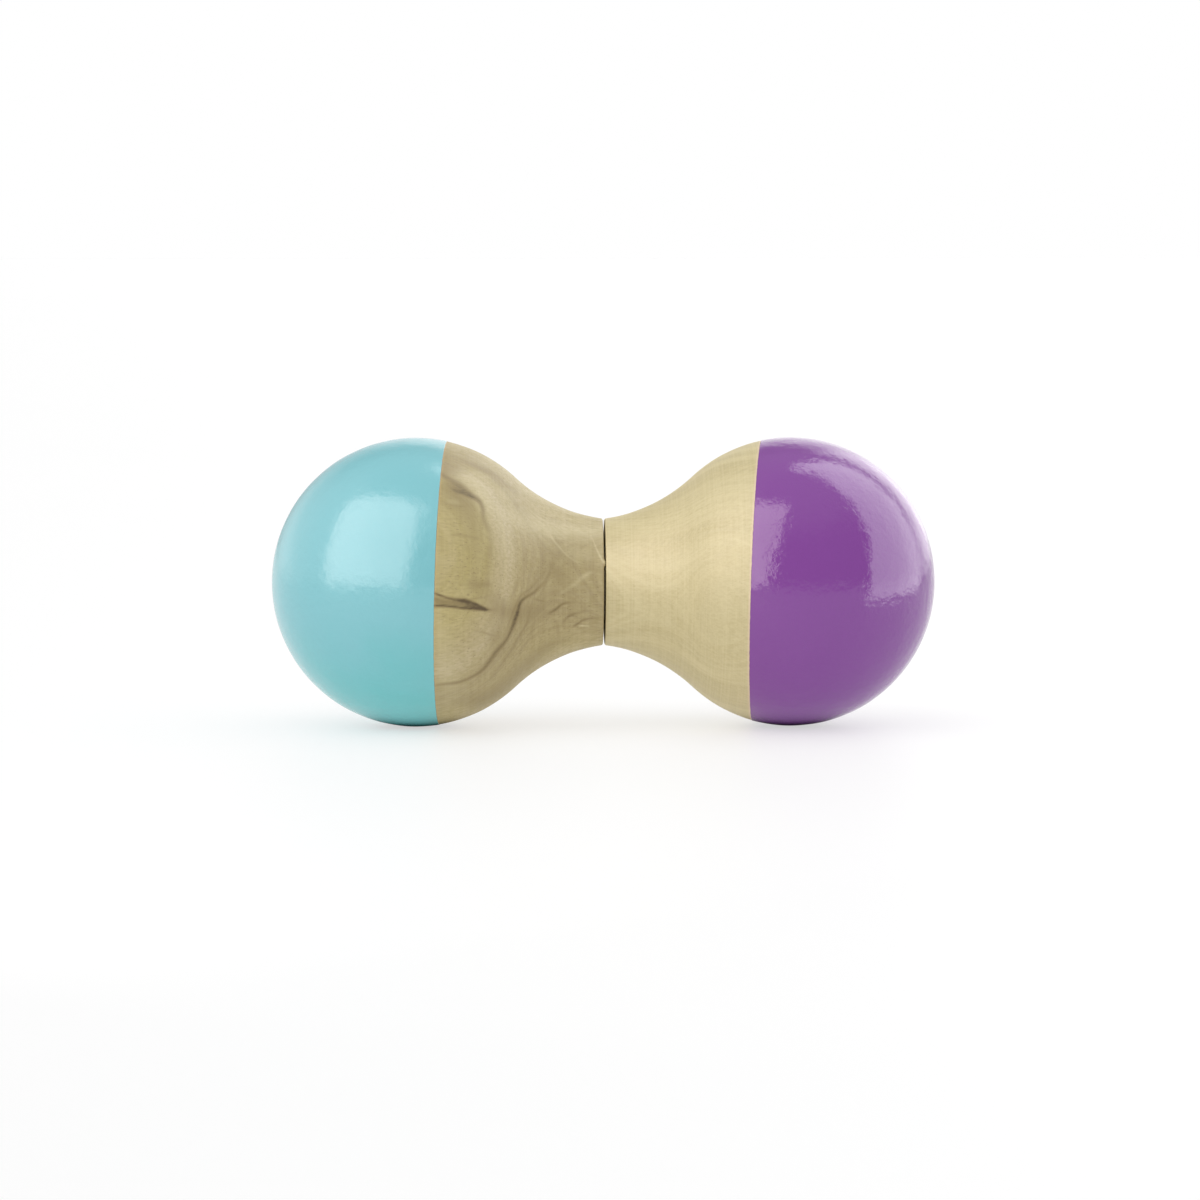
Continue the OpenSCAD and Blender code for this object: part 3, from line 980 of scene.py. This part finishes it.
# broad soft lights on wood, paint and floor
suns = {
    "ceiling": {"place": (0, 0, 1), "aim": (0.08, 0.1, 0), "strength": 0.5, "spreadDegrees": 100},
    "keyGlow": {"place": (-0.5, -0.7, 0.9), "aim": (0, 0, 0), "strength": 0.42, "spreadDegrees": 60},
}

# The room as the gloss sees it. The white backdrop ends at a plane through the rattle on each side:
# the plane's normal, then how far past it the backdrop starts and is full.
room = {
    "rightEdge": ((-0.478, 0.709, -0.518), -0.012, 0.02),
    "leftEdge": ((0.227, 0.572, -0.788), -0.1, 0.16),
    "backdrop": (0.4, 2.1),          # brightness at its left and its right
    "horizon": 0.7,                  # share of it left at the height of the floor
    "leftWall": 1.15,
    "overhead": (0.2, 0.65),         # low and straight up
    "soft": (0.66, 0.88),            # even light on everything that isn't gloss, low and high
}


def buildFloor():
    size = studio["floorSize"]
    steps = np.linspace(-size / 2, size / 2, 3)
    x, y = np.meshgrid(steps, steps, indexing="ij")
    points = np.stack([x.ravel(), y.ravel(), np.full(x.size, floorZ)], -1)
    faces = [(i, i + 3, i + 4, i + 1) for i in (0, 1, 3, 4)]
    mesh = bpy.data.meshes.new("floor")
    mesh.from_pydata(points.tolist(), [], faces)
    floor = bpy.data.objects.new("floor", mesh)
    bpy.context.scene.collection.objects.link(floor)
    material, tree, shader = newMaterial("paleFloor")
    place = placeInMillimetres(tree)
    shade = mottle(tree, place, 0.004, 3.0)
    first, second = ((grey, grey, grey, 1) for grey in studio["floorGreys"])
    feed(tree, shader.inputs["Base Color"], mixColour(tree, shade, first, second))
    shader.inputs["Roughness"].default_value = 0.55
    shader.inputs["Specular IOR Level"].default_value = 0.2
    # The floor is given a painted glow, though it is no lamp, which keeps shadows thin. Close round the two
    # places where the heads stand, the glow is left out for every ray but the camera's, which paints shade on
    # the heads' undersides.
    across = axes(tree, place)
    fromHead = calc(tree, "SUBTRACT", calc(tree, "ABSOLUTE", across["X"]), headX)
    fromFoot = calc(tree, "SQRT", squareSum(tree, across["Y"], fromHead))
    rays = tree.nodes.new("ShaderNodeLightPath")
    glow = calc(tree, "MAXIMUM", ease(tree, fromFoot, *studio["shadedFoot"]), rays.outputs["Is Camera Ray"])
    shader.inputs["Emission Color"].default_value = (1, 1, 1, 1)
    feed(tree, shader.inputs["Emission Strength"], calc(tree, "MULTIPLY", glow, studio["paintedFloorGlow"]))
    mesh.materials.append(material)


def addLight(name, kind, place, aim, seen, colour=(1, 1, 1), **settings):
    # seen: which rays meet the light, diffuse or glossy
    data = bpy.data.lights.new(name, kind)
    data.color = colour
    for setting, value in settings.items():
        setattr(data, setting, value)
    light = bpy.data.objects.new(name, data)
    light.location = Vector(place)
    light.rotation_euler = (Vector(aim) - Vector(place)).to_track_quat("-Z", "Y").to_euler()
    bpy.context.scene.collection.objects.link(light)
    light.visible_camera = False
    light.visible_diffuse = seen == "diffuse"
    light.visible_glossy = seen == "glossy"
    light.visible_transmission = False
    light.visible_volume_scatter = False
    return light


def facing(turn, tilt):
    # direction from its angles in radians: round the upright axis, then up
    return Vector((math.cos(tilt) * math.cos(turn), math.cos(tilt) * math.sin(turn), math.sin(tilt)))


def addSoftbox(name, box):
    # power that gives an even panel the asked radiance: radiance x pi x area
    place = Vector(box["place"])
    power = box["radiance"] * math.pi * box["width"] * box["height"]
    panel = addLight(name, "AREA", place, place + facing(box["turn"], box["tilt"]), "glossy", box["colour"],
                     shape="RECTANGLE", size=box["width"], size_y=box["height"], energy=power)
    panel.rotation_euler.rotate_axis("Z", box["lean"])


def pastPlane(tree, direction, normal, low, high):
    # 0 on one side of a plane through the rattle and 1 on the other, with a soft edge
    node = tree.nodes.new("ShaderNodeVectorMath")
    node.operation = "DOT_PRODUCT"
    feed(tree, node.inputs[0], direction)
    node.inputs[1].default_value = normal
    return ease(tree, node.outputs["Value"], low, high)


def buildWorld():
    # white behind the object, dim in front of it and overhead, as the gloss sees it;
    # even soft light for everything else; plain white past the floor's edge
    world = bpy.data.worlds.new("studio")
    world.use_nodes = True
    tree = world.node_tree
    tree.nodes.clear()
    direction = tree.nodes.new("ShaderNodeTexCoord").outputs["Generated"]
    across = axes(tree, direction)
    x, z = across["X"], across["Z"]
    # the backdrop, cut off on both sides, fades to the floor's own brightness at the horizon
    rightPart = pastPlane(tree, direction, *room["rightEdge"])
    leftPart = calc(tree, "MULTIPLY", pastPlane(tree, direction, *room["leftEdge"]),
                    ease(tree, x, -0.12, -0.4, 0.6, 1.0))
    leftPart = calc(tree, "MAXIMUM", leftPart, ease(tree, x, 0.1, 0.3))
    backdrop = calc(tree, "MULTIPLY", rightPart, leftPart)
    backdrop = calc(tree, "MULTIPLY", backdrop, ease(tree, z, -0.03, 0.1, room["horizon"], 1.0))
    leftWall = ease(tree, x, -0.2, -0.95, 0.0, room["leftWall"])
    overhead = ease(tree, z, 0.55, 0.95, *room["overhead"])
    glossy = calc(tree, "MULTIPLY_ADD", backdrop, ease(tree, x, -0.3, 0.2, *room["backdrop"]), overhead)
    glossy = calc(tree, "ADD", glossy, leftWall)
    soft = ease(tree, z, -0.2, 1.0, *room["soft"])
    rays = tree.nodes.new("ShaderNodeLightPath")
    strength = mixNumber(tree, rays.outputs["Is Glossy Ray"], soft, glossy)
    shown = mixNumber(tree, rays.outputs["Is Camera Ray"], strength, 1.0)
    background = tree.nodes.new("ShaderNodeBackground")
    background.inputs["Color"].default_value = (1, 1, 1, 1)
    feed(tree, background.inputs["Strength"], shown)
    output = tree.nodes.new("ShaderNodeOutputWorld")
    tree.links.new(background.outputs[0], output.inputs[0])
    bpy.context.scene.world = world


def buildCamera():
    data = bpy.data.cameras.new("camera")
    data.lens = studio["lens"]
    data.sensor_width = 36
    data.clip_start = 0.01
    camera = bpy.data.objects.new("camera", data)
    rise, turn = math.radians(studio["cameraHeightDegrees"]), math.radians(studio["cameraTurnDegrees"])
    aim = Vector(studio["aim"]) * mm
    away = Vector((math.sin(turn) * math.cos(rise), -math.cos(turn) * math.cos(rise), math.sin(rise)))
    camera.location = aim + away * studio["cameraDistance"]
    camera.rotation_euler = (-away).to_track_quat("-Z", "Y").to_euler()
    bpy.context.scene.collection.objects.link(camera)
    bpy.context.scene.camera = camera


print("setting up the studio")
buildFloor()
buildWorld()
buildCamera()
for lightName, box in softboxes.items():
    addSoftbox(lightName, box)
for lightName, sun in suns.items():
    addLight(lightName, "SUN", sun["place"], sun["aim"], "diffuse", energy=sun["strength"],
             angle=math.radians(sun["spreadDegrees"]))

scene = bpy.context.scene
scene.view_settings.view_transform = "Standard"
scene.view_settings.look = "None"
